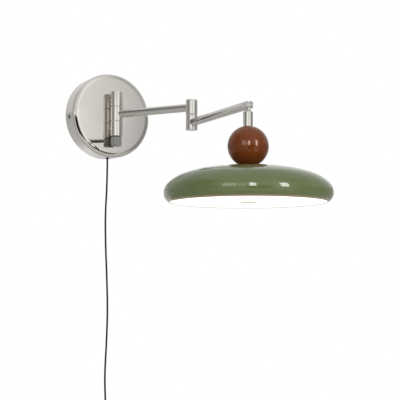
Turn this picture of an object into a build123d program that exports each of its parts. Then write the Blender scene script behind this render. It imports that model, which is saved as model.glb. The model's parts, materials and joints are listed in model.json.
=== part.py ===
"""Plug-in wall lamp: round wall canopy, two-part swing arm, ball and flat dome shade.

Sizes are in millimetres.  The wall is the plane y = 0, the lamp stands out along -Y, +Z is up,
and the origin is the middle of the wall bracket's back face.
"""

import os
from math import cos, pi, radians, sin, tan

from build123d import *

os.makedirs("parts", exist_ok=True)

# Fits
running_fit = 0.05
slide_gap = 0.05
easy_gap = 0.1
pipe_gap = 0.2
ring_inset = 0.3
screw_gap = 0.4

# Canopy and wall bracket
canopy_d = 120.0
canopy_depth = 29.0
canopy_wall = 1.5
canopy_edge = 7.0
canopy_flat = 34.0
canopy_fall = 1.2
strap_t = 2.0
strap_h = 20.0
tab_reach = 20.0
tab_h = 14.0
tab_x = canopy_d / 2 - canopy_wall - 1.3
wall_hole_d = 5.2
wall_hole_span = 70.0
side_screw_y = -0.44 * canopy_depth
side_screw_angle = 4.4
side_screw_d = 3.4
side_head_d = 6.6
side_head_t = 0.9
side_head_edge = 0.4
side_screw_len = 9.0
side_slot_w = 1.0
side_slot_t = 0.5

# Wall hinge
barrel_d = 17.0
barrel_reach = 12.3
barrel_y = -(canopy_depth + barrel_reach)
knuckle_h = 21.0
hub_h = 20.0
ring_t = 0.6
pin_d = 8.0
pin_bore = 5.0
post_d = 9.0
post_thread = 7.0
post_bore = 4.0
post_end_y = -18.5
post_nut_t = 5.0
post_nut_w = 12.0
post_washer_t = 1.0
post_washer_d = 14.0

# Switch and knob
switch_d = 13.0
shaft_d = 6.0
knob_d = 14.8
knob_h = 13.2
knob_gap = 0.8
knob_grooves = 36
groove_r = 0.45

# Arms
tube_d = 11.0
tube_bore = 8.6
arm1_len = 120.6
arm1_angle = 58.8
arm2_len = 153.6
arm2_angle = 94.1
elbow_d = 15.8
elbow_h = 20.5
elbow_pin_d = 7.0
elbow_pin_bore = 4.0
wire_hole = 6.0

# Tilt joint
fork_w = 9.0
slot_w = 4.2
tongue_t = 4.0
tilt_pin_d = 4.0
tongue_eye_r = 4.6
tongue_w = 7.0
fork_reach = 7.5
fork_spigot = 9.0
slot_root = 5.0
shoulder_drop = 6.8
shoulder_chamfer = 2.0

# Stem, ball and shade
stem_d = 12.0
stem_bore = 9.0
ball_r = 25.2
ball_drop = 50.7
shade_r = 102.6
shade_depth = 43.6
lip_turn = 7.0
lip_stand = 2.0
shade_wall = 1.2
pipe_bore = 6.0
pipe_nut_w = 14.0
spacer_d = 13.0
shade_washer_d = 22.0
tray_inset = 10.0
tray_share = 0.673
tray_t = 1.5
board_t = 1.6
board_inset = 4.0
board_eye_r = 12.0
led_size = 3.5
led_t = 0.8
diffuser_seat = 1.1
diffuser_t = 3.0
cap_d = 20.0
cap_t = 2.6

# Cord and plug
cord_d = 2.6
cord_y = -12.7
grommet_flange = 9.0
grommet_neck = 5.6
grommet_stand = 0.4
coil_pitch = 3.05
coil_r = 20.5
coil_turns = 4
tie_w = 4.0
tie_t = 1.0
plug_w = 34.0
plug_t = 26.0
plug_h = 56.0
plug_pin_d = 4.0
plug_pin_span = 19.0
plug_pin_len = 19.0
plug_pin_seat = 6.0
plug_root_d = 3.0
plug_pin_tip = 1.5

# Places that follow from the sizes
arm1_dir = (cos(radians(arm1_angle)), -sin(radians(arm1_angle)), 0)
arm2_dir = (cos(radians(arm2_angle)), -sin(radians(arm2_angle)), 0)
tilt_axis = (-sin(radians(arm2_angle)), -cos(radians(arm2_angle)), 0)
elbow_x = arm1_len * arm1_dir[0]
elbow_y = barrel_y + arm1_len * arm1_dir[1]
head_x = elbow_x + arm2_len * arm2_dir[0]
head_y = elbow_y + arm2_len * arm2_dir[1]
hub_top = hub_h / 2
knuckle_in = hub_top + ring_t
knuckle_out = knuckle_in + knuckle_h
post_z = knuckle_in + knuckle_h / 2
pin_top = knuckle_out - 4.0
pin_low = -(knuckle_in + 8.0)
knob_top = -(knuckle_out + knob_gap)
knob_low = knob_top - knob_h
elbow_top = elbow_h / 2
elbow_seam = -elbow_top - ring_t
elbow_low = elbow_seam - elbow_h
arm2_z = (elbow_seam + elbow_low) / 2
elbow_pin_top = elbow_top - 3.5
elbow_cap_t = 1.5
elbow_nut_t = 3.2
elbow_nut_d = 10.6
elbow_pocket_d = elbow_nut_d + 0.8
elbow_pocket_top = elbow_low + elbow_cap_t + elbow_nut_t + 0.5
stem_top = arm2_z - shoulder_drop
stem_joint = stem_top - shoulder_chamfer - 1.6
ball_z = arm2_z - ball_drop
stem_low = ball_z + ball_r - 2.5
shade_top = ball_z - ball_r + 0.2
shade_low = shade_top - shade_depth
shade_mouth_r = shade_r - lip_turn
diffuser_r = shade_mouth_r + diffuser_seat
diffuser_low = shade_low + lip_stand
tray_top = shade_top - tray_share * shade_depth
tray_r = shade_r - tray_inset
board_r = tray_r - board_inset
pipe_low = diffuser_low - 1.7
tilt_pin_at = (head_x, head_y, arm2_z)
face_out = {"x_dir": (1, 0, 0), "z_dir": (0, -1, 0)}


def side_plane(reach, side, facing):
    out = Vector(side, 0, 0).rotate(Axis.Y, side * side_screw_angle)
    return Plane(origin=out * reach + Vector(0, side_screw_y, 0), x_dir=(0, 1, 0), z_dir=out * facing)


def hub_plane(z):
    return Plane(origin=(0, barrel_y, z))


def elbow_plane(z):
    return Plane(origin=(elbow_x, elbow_y, z))


def head_plane(z):
    return Plane(origin=(head_x, head_y, z))


# Wall bracket: flat strap with two tabs bent up at its ends, flush with its lower edge
tab_z = -(strap_h - tab_h) / 2
with BuildPart() as wall_bracket:
    with BuildSketch(Plane(origin=(0, 0, 0), **face_out)):
        Rectangle(2 * tab_x, strap_h)
    extrude(amount=strap_t)
    for side in (-1, 1):
        with BuildSketch(Plane(origin=(side * (tab_x - strap_t / 2), -strap_t, tab_z), **face_out)):
            Rectangle(strap_t, tab_h)
        extrude(amount=tab_reach - strap_t)
    for side in (-1, 1):
        with BuildSketch(side_plane(tab_x - 2 * strap_t, side, 1)):
            Circle(side_screw_d / 2)
        extrude(amount=3 * strap_t, mode=Mode.SUBTRACT)
    with BuildSketch(Plane(origin=(0, 0, 0), **face_out)):
        with Locations((-wall_hole_span / 2, 0), (wall_hole_span / 2, 0)):
            Circle(wall_hole_d / 2)
    extrude(amount=strap_t, mode=Mode.SUBTRACT)
wall_bracket.part.label = "wall_bracket"
export_step(wall_bracket.part, "parts/wall_bracket.step")

# Canopy: pan open towards the wall, flat in the middle of its front and falling softly to a rounded edge
canopy_inner_r = canopy_d / 2 - canopy_wall
canopy_inner_depth = canopy_depth - canopy_wall
with BuildPart() as canopy:
    with BuildSketch(Plane.XY) as canopy_outside:
        with BuildLine():
            outer_flat = Line((0, -canopy_depth), (canopy_flat, -canopy_depth))
            outer_fall = TangentArc(outer_flat @ 1, (canopy_d / 2, canopy_fall - canopy_depth), tangent=(1, 0))
            Polyline(outer_fall @ 1, (canopy_d / 2, 0), (0, 0), (0, -canopy_depth))
        make_face()
        fillet(canopy_outside.vertices().group_by(Axis.X)[-1].sort_by(Axis.Y)[0], canopy_edge)
    revolve(axis=Axis.Y)
    with BuildSketch(Plane.XY) as canopy_inside:
        with BuildLine():
            inner_flat = Line((0, -canopy_inner_depth), (canopy_flat, -canopy_inner_depth))
            inner_fall = TangentArc(inner_flat @ 1, (canopy_inner_r, canopy_fall - canopy_inner_depth), tangent=(1, 0))
            Polyline(inner_fall @ 1, (canopy_inner_r, 0), (0, 0), (0, -canopy_inner_depth))
        make_face()
        fillet(canopy_inside.vertices().group_by(Axis.X)[-1].sort_by(Axis.Y)[0], canopy_edge - canopy_wall)
    revolve(axis=Axis.Y, mode=Mode.SUBTRACT)
    with BuildSketch(Plane(origin=(0, 0, 0), **face_out)):
        with Locations((0, post_z), (0, -post_z)):
            Circle(post_thread / 2 + easy_gap)
    extrude(amount=canopy_depth, mode=Mode.SUBTRACT)
    for side in (-1, 1):
        with BuildSketch(side_plane(canopy_d / 2 - 2 * canopy_wall, side, 1)):
            Circle(side_screw_d / 2 + screw_gap)
        extrude(amount=4 * canopy_wall, mode=Mode.SUBTRACT)
    with BuildSketch(Plane(origin=(0, cord_y, -canopy_d / 2 + 6))):
        Circle(grommet_neck / 2)
    extrude(amount=-12, mode=Mode.SUBTRACT)
canopy.part.label = "canopy"
export_step(canopy.part, "parts/canopy.step")

# Side screws with low slotted heads
with BuildPart() as canopy_screw_left:
    with BuildSketch(side_plane(canopy_d / 2, -1, -1)):
        Circle(side_screw_d / 2)
    extrude(amount=side_screw_len)
    with BuildSketch(side_plane(canopy_d / 2, -1, 1)):
        Circle(side_head_d / 2)
    extrude(amount=side_head_t)
    fillet(canopy_screw_left.faces().sort_by(Axis.X)[0].edges(), side_head_edge)
    with BuildSketch(side_plane(canopy_d / 2 + side_head_t, -1, -1)):
        Rectangle(side_head_d, side_slot_w)
    extrude(amount=side_slot_t, mode=Mode.SUBTRACT)
canopy_screw_left.part.label = "canopy_screw_left"
export_step(canopy_screw_left.part, "parts/canopy_screw_left.step")

with BuildPart() as canopy_screw_right:
    with BuildSketch(side_plane(canopy_d / 2, 1, -1)):
        Circle(side_screw_d / 2)
    extrude(amount=side_screw_len)
    with BuildSketch(side_plane(canopy_d / 2, 1, 1)):
        Circle(side_head_d / 2)
    extrude(amount=side_head_t)
    fillet(canopy_screw_right.faces().sort_by(Axis.X)[-1].edges(), side_head_edge)
    with BuildSketch(side_plane(canopy_d / 2 + side_head_t, 1, -1)):
        Rectangle(side_head_d, side_slot_w)
    extrude(amount=side_slot_t, mode=Mode.SUBTRACT)
canopy_screw_right.part.label = "canopy_screw_right"
export_step(canopy_screw_right.part, "parts/canopy_screw_right.step")

# Terminal block on the strap, with two clamp-screw pockets
block_h = 12.0
block_front = -19.0
with BuildPart() as terminal_block:
    with BuildSketch(Plane(origin=(0, -strap_t, 0), **face_out)):
        Rectangle(24, block_h)
    extrude(amount=-block_front - strap_t)
    with BuildSketch(Plane(origin=(0, block_front, 0), x_dir=(1, 0, 0), z_dir=(0, 1, 0))):
        with Locations((-6, 0), (6, 0)):
            Circle(2)
    extrude(amount=3, mode=Mode.SUBTRACT)
terminal_block.part.label = "terminal_block"
export_step(terminal_block.part, "parts/terminal_block.step")

# Stub posts from the canopy to the fixed knuckles
with BuildPart() as upper_post:
    with BuildSketch(Plane(origin=(0, -canopy_depth, post_z), **face_out)):
        Circle(post_d / 2)
    extrude(amount=-barrel_y - canopy_depth)
    with BuildSketch(Plane(origin=(0, post_end_y, post_z), **face_out)):
        Circle(post_thread / 2)
    extrude(amount=canopy_depth + post_end_y)
    with BuildSketch(Plane(origin=(0, post_end_y, post_z), **face_out)):
        Circle(post_bore / 2)
    extrude(amount=-barrel_y, mode=Mode.SUBTRACT)
    with BuildSketch(hub_plane(knuckle_in)):
        Circle(barrel_d / 2)
    extrude(amount=knuckle_h, mode=Mode.SUBTRACT)
upper_post.part.label = "upper_post"
export_step(upper_post.part, "parts/upper_post.step")

with BuildPart() as lower_post:
    with BuildSketch(Plane(origin=(0, -canopy_depth, -post_z), **face_out)):
        Circle(post_d / 2)
    extrude(amount=-barrel_y - canopy_depth)
    with BuildSketch(Plane(origin=(0, post_end_y, -post_z), **face_out)):
        Circle(post_thread / 2)
    extrude(amount=canopy_depth + post_end_y)
    with BuildSketch(Plane(origin=(0, post_end_y, -post_z), **face_out)):
        Circle(post_bore / 2)
    extrude(amount=-barrel_y, mode=Mode.SUBTRACT)
    with BuildSketch(hub_plane(-knuckle_out)):
        Circle(barrel_d / 2)
    extrude(amount=knuckle_h, mode=Mode.SUBTRACT)
lower_post.part.label = "lower_post"
export_step(lower_post.part, "parts/lower_post.step")

# Washers and nuts of the posts, inside the canopy
post_clamp_y = -(canopy_depth - canopy_wall)
with BuildPart() as upper_post_washer:
    with BuildSketch(Plane(origin=(0, post_clamp_y + post_washer_t, post_z), **face_out)):
        Circle(post_washer_d / 2)
        Circle(post_thread / 2 + easy_gap, mode=Mode.SUBTRACT)
    extrude(amount=post_washer_t)
upper_post_washer.part.label = "upper_post_washer"
export_step(upper_post_washer.part, "parts/upper_post_washer.step")

with BuildPart() as upper_post_nut:
    with BuildSketch(Plane(origin=(0, post_clamp_y + post_washer_t + post_nut_t, post_z), **face_out)):
        RegularPolygon(post_nut_w / 2, 6, major_radius=False)
        Circle(post_thread / 2, mode=Mode.SUBTRACT)
    extrude(amount=post_nut_t)
upper_post_nut.part.label = "upper_post_nut"
export_step(upper_post_nut.part, "parts/upper_post_nut.step")

with BuildPart() as lower_post_washer:
    with BuildSketch(Plane(origin=(0, post_clamp_y + post_washer_t, -post_z), **face_out)):
        Circle(post_washer_d / 2)
        Circle(post_thread / 2 + easy_gap, mode=Mode.SUBTRACT)
    extrude(amount=post_washer_t)
lower_post_washer.part.label = "lower_post_washer"
export_step(lower_post_washer.part, "parts/lower_post_washer.step")

with BuildPart() as lower_post_nut:
    with BuildSketch(Plane(origin=(0, post_clamp_y + post_washer_t + post_nut_t, -post_z), **face_out)):
        RegularPolygon(post_nut_w / 2, 6, major_radius=False)
        Circle(post_thread / 2, mode=Mode.SUBTRACT)
    extrude(amount=post_nut_t)
lower_post_nut.part.label = "lower_post_nut"
export_step(lower_post_nut.part, "parts/lower_post_nut.step")

# Fixed knuckles of the wall hinge
with BuildPart() as upper_knuckle:
    with BuildSketch(hub_plane(knuckle_in)):
        Circle(barrel_d / 2)
    extrude(amount=knuckle_h)
    chamfer(upper_knuckle.faces().sort_by(Axis.Z)[-1].edges(), 0.8)
    with BuildSketch(hub_plane(knuckle_in)):
        Circle(pin_d / 2)
    extrude(amount=pin_top - knuckle_in, mode=Mode.SUBTRACT)
    with BuildSketch(Plane(origin=(0, barrel_y, post_z), x_dir=(1, 0, 0), z_dir=(0, 1, 0))):
        Circle(post_bore / 2)
    extrude(amount=barrel_d, mode=Mode.SUBTRACT)
upper_knuckle.part.label = "upper_knuckle"
export_step(upper_knuckle.part, "parts/upper_knuckle.step")

with BuildPart() as lower_knuckle:
    with BuildSketch(hub_plane(-knuckle_out)):
        Circle(barrel_d / 2)
    extrude(amount=knuckle_h)
    chamfer(lower_knuckle.faces().sort_by(Axis.Z)[0].edges(), 0.5)
    with BuildSketch(hub_plane(-knuckle_out)):
        Circle(switch_d / 2)
    extrude(amount=knuckle_out + pin_low, mode=Mode.SUBTRACT)
    with BuildSketch(hub_plane(-knuckle_in)):
        Circle(pin_d / 2)
    extrude(amount=-knuckle_h / 2, mode=Mode.SUBTRACT)
    with BuildSketch(Plane(origin=(0, barrel_y, -post_z), x_dir=(1, 0, 0), z_dir=(0, 1, 0))):
        Circle(post_bore / 2)
    extrude(amount=barrel_d, mode=Mode.SUBTRACT)
lower_knuckle.part.label = "lower_knuckle"
export_step(lower_knuckle.part, "parts/lower_knuckle.step")

# Hollow hinge pin with wire holes towards the upper post and the first arm
with BuildPart() as hinge_pin:
    with BuildSketch(hub_plane(pin_low)):
        Circle(pin_d / 2)
        Circle(pin_bore / 2, mode=Mode.SUBTRACT)
    extrude(amount=pin_top - pin_low)
    with BuildSketch(Plane(origin=(0, barrel_y, post_z), x_dir=(1, 0, 0), z_dir=(0, 1, 0))):
        Circle(post_bore / 2)
    extrude(amount=pin_d, mode=Mode.SUBTRACT)
    with BuildSketch(Plane(origin=(0, barrel_y, 0), x_dir=(0, 0, 1), z_dir=arm1_dir)):
        Circle(post_bore / 2)
    extrude(amount=pin_d, mode=Mode.SUBTRACT)
hinge_pin.part.label = "hinge_pin"
export_step(hinge_pin.part, "parts/hinge_pin.step")

# Sliding rings of the wall hinge
with BuildPart() as upper_hinge_washer:
    with BuildSketch(hub_plane(hub_top)):
        Circle(barrel_d / 2 - ring_inset)
        Circle(pin_d / 2 + easy_gap, mode=Mode.SUBTRACT)
    extrude(amount=ring_t)
upper_hinge_washer.part.label = "upper_hinge_washer"
export_step(upper_hinge_washer.part, "parts/upper_hinge_washer.step")

with BuildPart() as lower_hinge_washer:
    with BuildSketch(hub_plane(-knuckle_in)):
        Circle(barrel_d / 2 - ring_inset)
        Circle(pin_d / 2 + easy_gap, mode=Mode.SUBTRACT)
    extrude(amount=ring_t)
lower_hinge_washer.part.label = "lower_hinge_washer"
export_step(lower_hinge_washer.part, "parts/lower_hinge_washer.step")

# Rotary switch in the lower knuckle, with its shaft and knurled knob
shaft_top = pin_low - 3.5
with BuildPart() as switch_body:
    with BuildSketch(hub_plane(-knuckle_out)):
        Circle(switch_d / 2)
    extrude(amount=knuckle_out + pin_low - 0.4)
    with BuildSketch(hub_plane(-knuckle_out)):
        Circle(shaft_d / 2 + running_fit)
    extrude(amount=knuckle_out + shaft_top + 0.3, mode=Mode.SUBTRACT)
switch_body.part.label = "switch_body"
export_step(switch_body.part, "parts/switch_body.step")

with BuildPart() as switch_shaft:
    with BuildSketch(hub_plane(knob_low + 2)):
        Circle(shaft_d / 2)
    extrude(amount=shaft_top - knob_low - 2)
switch_shaft.part.label = "switch_shaft"
export_step(switch_shaft.part, "parts/switch_shaft.step")

with BuildPart() as switch_knob:
    with BuildSketch(hub_plane(knob_low)):
        Circle(knob_d / 2)
    extrude(amount=knob_h)
    chamfer(switch_knob.faces().filter_by(GeomType.PLANE).edges(), 0.7)
    with BuildSketch(hub_plane(knob_low)):
        with PolarLocations(knob_d / 2 + 0.1, knob_grooves):
            Circle(groove_r)
    extrude(amount=knob_h, mode=Mode.SUBTRACT)
    with BuildSketch(hub_plane(knob_top)):
        Circle(shaft_d / 2)
    extrude(amount=-(knob_h - 2), mode=Mode.SUBTRACT)
switch_knob.part.label = "switch_knob"
export_step(switch_knob.part, "parts/switch_knob.step")

# First arm: hub on the hinge pin, tube, upper half of the elbow
with BuildPart() as arm1_hub:
    with BuildSketch(hub_plane(-hub_top + slide_gap)):
        Circle(barrel_d / 2)
        Circle(pin_d / 2 + running_fit, mode=Mode.SUBTRACT)
    extrude(amount=hub_h - 2 * slide_gap)
    with BuildSketch(Plane(origin=(0, barrel_y, 0), x_dir=(0, 0, 1), z_dir=arm1_dir)):
        Circle(wire_hole / 2)
    extrude(amount=barrel_d, mode=Mode.SUBTRACT)
arm1_hub.part.label = "arm1_hub"
export_step(arm1_hub.part, "parts/arm1_hub.step")

with BuildPart() as arm1_tube:
    with BuildSketch(Plane(origin=(0, barrel_y, 0), x_dir=(0, 0, 1), z_dir=arm1_dir)):
        Circle(tube_d / 2)
        Circle(tube_bore / 2, mode=Mode.SUBTRACT)
    extrude(amount=arm1_len)
    with BuildSketch(hub_plane(-hub_h)):
        Circle(barrel_d / 2)
    extrude(amount=2 * hub_h, mode=Mode.SUBTRACT)
    with BuildSketch(elbow_plane(-elbow_h)):
        Circle(elbow_d / 2)
    extrude(amount=2 * elbow_h, mode=Mode.SUBTRACT)
arm1_tube.part.label = "arm1_tube"
export_step(arm1_tube.part, "parts/arm1_tube.step")

with BuildPart() as elbow_upper:
    with BuildSketch(elbow_plane(-elbow_top)):
        Circle(elbow_d / 2)
    extrude(amount=elbow_h)
    chamfer(elbow_upper.faces().sort_by(Axis.Z)[-1].edges(), 1.0)
    with BuildSketch(elbow_plane(-elbow_top)):
        Circle(elbow_pin_d / 2)
    extrude(amount=elbow_top + elbow_pin_top, mode=Mode.SUBTRACT)
    with BuildSketch(Plane(origin=(elbow_x, elbow_y, 0), x_dir=(0, 0, 1), z_dir=arm1_dir)):
        Circle(wire_hole / 2)
    extrude(amount=-elbow_d, mode=Mode.SUBTRACT)
elbow_upper.part.label = "elbow_upper"
export_step(elbow_upper.part, "parts/elbow_upper.step")

# Elbow pin, its ring and its nut
elbow_nut_low = elbow_low + elbow_cap_t + 0.25
with BuildPart() as elbow_pin:
    with BuildSketch(elbow_plane(elbow_nut_low)):
        Circle(elbow_pin_d / 2)
        Circle(elbow_pin_bore / 2, mode=Mode.SUBTRACT)
    extrude(amount=elbow_pin_top - elbow_nut_low)
    with BuildSketch(Plane(origin=(elbow_x, elbow_y, 0), x_dir=(0, 0, 1), z_dir=arm1_dir)):
        Circle(elbow_pin_bore / 2 - 0.2)
    extrude(amount=-elbow_d, mode=Mode.SUBTRACT)
    with BuildSketch(Plane(origin=(elbow_x, elbow_y, arm2_z), x_dir=(0, 0, 1), z_dir=arm2_dir)):
        Circle(elbow_pin_bore / 2 - 0.2)
    extrude(amount=elbow_d, mode=Mode.SUBTRACT)
elbow_pin.part.label = "elbow_pin"
export_step(elbow_pin.part, "parts/elbow_pin.step")

with BuildPart() as elbow_washer:
    with BuildSketch(elbow_plane(elbow_seam)):
        Circle(elbow_d / 2 - ring_inset)
        Circle(elbow_pin_d / 2 + easy_gap, mode=Mode.SUBTRACT)
    extrude(amount=ring_t)
elbow_washer.part.label = "elbow_washer"
export_step(elbow_washer.part, "parts/elbow_washer.step")

with BuildPart() as elbow_nut:
    with BuildSketch(elbow_plane(elbow_nut_low)):
        Circle(elbow_nut_d / 2)
        Circle(elbow_pin_d / 2, mode=Mode.SUBTRACT)
    extrude(amount=elbow_nut_t)
elbow_nut.part.label = "elbow_nut"
export_step(elbow_nut.part, "parts/elbow_nut.step")

# Second arm: lower half of the elbow with its cap, tube and fork
with BuildPart() as elbow_lower:
    with BuildSketch(elbow_plane(elbow_low)):
        Circle(elbow_d / 2)
    extrude(amount=elbow_h - slide_gap)
    chamfer(elbow_lower.faces().sort_by(Axis.Z)[0].edges(), 0.8)
    with BuildSketch(elbow_plane(elbow_low)):
        Circle(elbow_pin_d / 2 + running_fit)
    extrude(amount=elbow_h, mode=Mode.SUBTRACT)
    with BuildSketch(elbow_plane(elbow_low)):
        Circle(elbow_pocket_d / 2)
    extrude(amount=elbow_pocket_top - elbow_low, mode=Mode.SUBTRACT)
    with BuildSketch(Plane(origin=(elbow_x, elbow_y, arm2_z), x_dir=(0, 0, 1), z_dir=arm2_dir)):
        Circle(wire_hole / 2)
    extrude(amount=elbow_d, mode=Mode.SUBTRACT)
elbow_lower.part.label = "elbow_lower"
export_step(elbow_lower.part, "parts/elbow_lower.step")

with BuildPart() as elbow_cap:
    with BuildSketch(elbow_plane(elbow_low)):
        Circle(elbow_pocket_d / 2)
    extrude(amount=elbow_cap_t)
elbow_cap.part.label = "elbow_cap"
export_step(elbow_cap.part, "parts/elbow_cap.step")

with BuildPart() as arm2_tube:
    with BuildSketch(Plane(origin=(elbow_x, elbow_y, arm2_z), x_dir=(0, 0, 1), z_dir=arm2_dir)):
        Circle(tube_d / 2)
        Circle(tube_bore / 2, mode=Mode.SUBTRACT)
    extrude(amount=arm2_len - fork_reach)
    with BuildSketch(elbow_plane(elbow_low)):
        Circle(elbow_d / 2)
    extrude(amount=elbow_h, mode=Mode.SUBTRACT)
arm2_tube.part.label = "arm2_tube"
export_step(arm2_tube.part, "parts/arm2_tube.step")

tilt_plane = Plane(origin=tilt_pin_at, x_dir=arm2_dir, z_dir=tilt_axis)
fork_plane = Plane(origin=tilt_pin_at, x_dir=(0, 0, 1), z_dir=arm2_dir)
with BuildPart() as tilt_fork:
    with BuildSketch(tilt_plane):
        with Locations((-fork_reach / 2, 0)):
            Rectangle(fork_reach, tube_d)
        Circle(tube_d / 2)
    extrude(amount=fork_w / 2, both=True)
    with BuildSketch(fork_plane):
        Circle(tube_d / 2)
    extrude(amount=fork_reach, both=True, mode=Mode.INTERSECT)
    with BuildSketch(fork_plane.offset(-fork_reach)):
        Circle(tube_bore / 2)
    extrude(amount=-fork_spigot)
    with BuildSketch(tilt_plane):
        with Locations((tube_d / 2 - slot_root, 0)):
            Rectangle(tube_d, tube_d + 2)
    extrude(amount=slot_w / 2, both=True, mode=Mode.SUBTRACT)
    with BuildSketch(tilt_plane):
        Circle(tilt_pin_d / 2)
    extrude(amount=fork_w, both=True, mode=Mode.SUBTRACT)
tilt_fork.part.label = "tilt_fork"
export_step(tilt_fork.part, "parts/tilt_fork.step")

with BuildPart() as tilt_pin:
    with BuildSketch(tilt_plane):
        Circle(tilt_pin_d / 2)
    extrude(amount=fork_w / 2, both=True)
tilt_pin.part.label = "tilt_pin"
export_step(tilt_pin.part, "parts/tilt_pin.step")

# Lamp head: tongue on the tilt pin, stem tube, ball and pipe
with BuildPart() as stem_tongue:
    with BuildSketch(head_plane(stem_joint)):
        Circle(stem_d / 2)
    extrude(amount=stem_top - stem_joint)
    chamfer(stem_tongue.faces().sort_by(Axis.Z)[-1].edges(), shoulder_chamfer)
    with BuildSketch(head_plane(stem_joint)):
        Circle(stem_bore / 2)
    extrude(amount=-6)
    with BuildSketch(tilt_plane):
        Circle(tongue_eye_r)
        with Locations((0, -shoulder_drop / 2)):
            Rectangle(tongue_w, shoulder_drop)
    extrude(amount=tongue_t / 2, both=True)
    with BuildSketch(tilt_plane):
        Circle(tilt_pin_d / 2 + running_fit)
    extrude(amount=tongue_t, both=True, mode=Mode.SUBTRACT)
stem_tongue.part.label = "stem_tongue"
export_step(stem_tongue.part, "parts/stem_tongue.step")

with BuildPart() as stem_tube:
    with BuildSketch(head_plane(stem_low)):
        Circle(stem_d / 2)
        Circle(stem_bore / 2, mode=Mode.SUBTRACT)
    extrude(amount=stem_joint - stem_low)
stem_tube.part.label = "stem_tube"
export_step(stem_tube.part, "parts/stem_tube.step")

with BuildPart() as ball:
    with BuildSketch(Plane(origin=(head_x, head_y, ball_z), x_dir=(1, 0, 0), z_dir=(0, -1, 0))):
        Circle(ball_r)
        with Locations((-ball_r, 0)):
            Rectangle(2 * ball_r, 2 * ball_r, mode=Mode.SUBTRACT)
    revolve(axis=Axis((head_x, head_y, ball_z), (0, 0, 1)), revolution_arc=360)
    with BuildSketch(head_plane(ball_z - ball_r)):
        Circle(stem_bore / 2 + pipe_gap)
    extrude(amount=2 * ball_r, mode=Mode.SUBTRACT)
    with BuildSketch(head_plane(stem_low)):
        Circle(stem_d / 2)
    extrude(amount=ball_r, mode=Mode.SUBTRACT)
ball.part.label = "ball"
export_step(ball.part, "parts/ball.step")

with BuildPart() as lamp_pipe:
    with BuildSketch(head_plane(pipe_low)):
        Circle(stem_bore / 2)
        Circle(pipe_bore / 2, mode=Mode.SUBTRACT)
    extrude(amount=stem_joint - 7 - pipe_low)
lamp_pipe.part.label = "lamp_pipe"
export_step(lamp_pipe.part, "parts/lamp_pipe.step")

# Shade: flat dome that turns in at its lower lip
crown_at = (0.5 * shade_r, -0.0557 * shade_depth)
slope_at = (0.8077 * shade_r, -0.239 * shade_depth)
shoulder_at = (0.9567 * shade_r, -0.4826 * shade_depth)
side_at = (shade_r, -0.7657 * shade_depth)
with BuildPart() as shade:
    with BuildSketch(Plane(origin=(head_x, head_y, shade_top), x_dir=(1, 0, 0), z_dir=(0, -1, 0))):
        with BuildLine() as dome:
            crown = TangentArc((0, 0), crown_at, tangent=(1, 0))
            slope = TangentArc(crown @ 1, slope_at, tangent=crown % 1)
            shoulder = TangentArc(slope @ 1, shoulder_at, tangent=slope % 1)
            side = TangentArc(shoulder @ 1, side_at, tangent=shoulder % 1)
            lip = TangentArc(side @ 1, (shade_mouth_r, -shade_depth), tangent=side % 1)
            offset(amount=shade_wall, side=Side.RIGHT)
        make_face()
    revolve(axis=Axis((head_x, head_y, shade_top), (0, 0, 1)), revolution_arc=360)
    with BuildSketch(head_plane(shade_top + 5)):
        Circle(stem_bore / 2 + pipe_gap)
    extrude(amount=-10, mode=Mode.SUBTRACT)
shade.part.label = "shade"
export_step(shade.part, "parts/shade.step")

# Washer, nut and spacers that hold the shade, the light tray and the diffuser on the pipe
shade_washer_top = shade_top - shade_wall - 0.2
shade_washer_t = 1.2
shade_nut_t = 5.0
shade_nut_low = shade_washer_top - shade_washer_t - shade_nut_t
with BuildPart() as shade_washer:
    with BuildSketch(head_plane(shade_washer_top)):
        Circle(shade_washer_d / 2)
        Circle(stem_bore / 2 + pipe_gap, mode=Mode.SUBTRACT)
    extrude(amount=-shade_washer_t)
shade_washer.part.label = "shade_washer"
export_step(shade_washer.part, "parts/shade_washer.step")

with BuildPart() as shade_nut:
    with BuildSketch(head_plane(shade_nut_low)):
        RegularPolygon(pipe_nut_w / 2, 6, major_radius=False)
        Circle(stem_bore / 2, mode=Mode.SUBTRACT)
    extrude(amount=shade_nut_t)
shade_nut.part.label = "shade_nut"
export_step(shade_nut.part, "parts/shade_nut.step")

with BuildPart() as tray_spacer:
    with BuildSketch(head_plane(tray_top)):
        Circle(spacer_d / 2)
        Circle(stem_bore / 2 + pipe_gap, mode=Mode.SUBTRACT)
    extrude(amount=shade_nut_low - tray_top)
tray_spacer.part.label = "tray_spacer"
export_step(tray_spacer.part, "parts/tray_spacer.step")

tray_low = tray_top - tray_t
with BuildPart() as led_tray:
    with BuildSketch(head_plane(tray_low)):
        Circle(tray_r)
        Circle(stem_bore / 2 + pipe_gap, mode=Mode.SUBTRACT)
    extrude(amount=tray_t)
led_tray.part.label = "led_tray"
export_step(led_tray.part, "parts/led_tray.step")

with BuildPart() as led_board:
    with BuildSketch(head_plane(tray_low - board_t)):
        Circle(board_r)
        Circle(board_eye_r, mode=Mode.SUBTRACT)
    extrude(amount=board_t)
    with BuildSketch(head_plane(tray_low - board_t)):
        for share, count in ((0.333, 12), (0.622, 20), (0.889, 28)):
            with PolarLocations(share * board_r, count):
                Rectangle(led_size, led_size)
    extrude(amount=-led_t)
led_board.part.label = "led_board"
export_step(led_board.part, "parts/led_board.step")

tray_nut_t = 4.0
with BuildPart() as tray_nut:
    with BuildSketch(head_plane(tray_low - tray_nut_t)):
        RegularPolygon(pipe_nut_w / 2, 6, major_radius=False)
        Circle(stem_bore / 2, mode=Mode.SUBTRACT)
    extrude(amount=tray_nut_t)
tray_nut.part.label = "tray_nut"
export_step(tray_nut.part, "parts/tray_nut.step")

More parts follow.
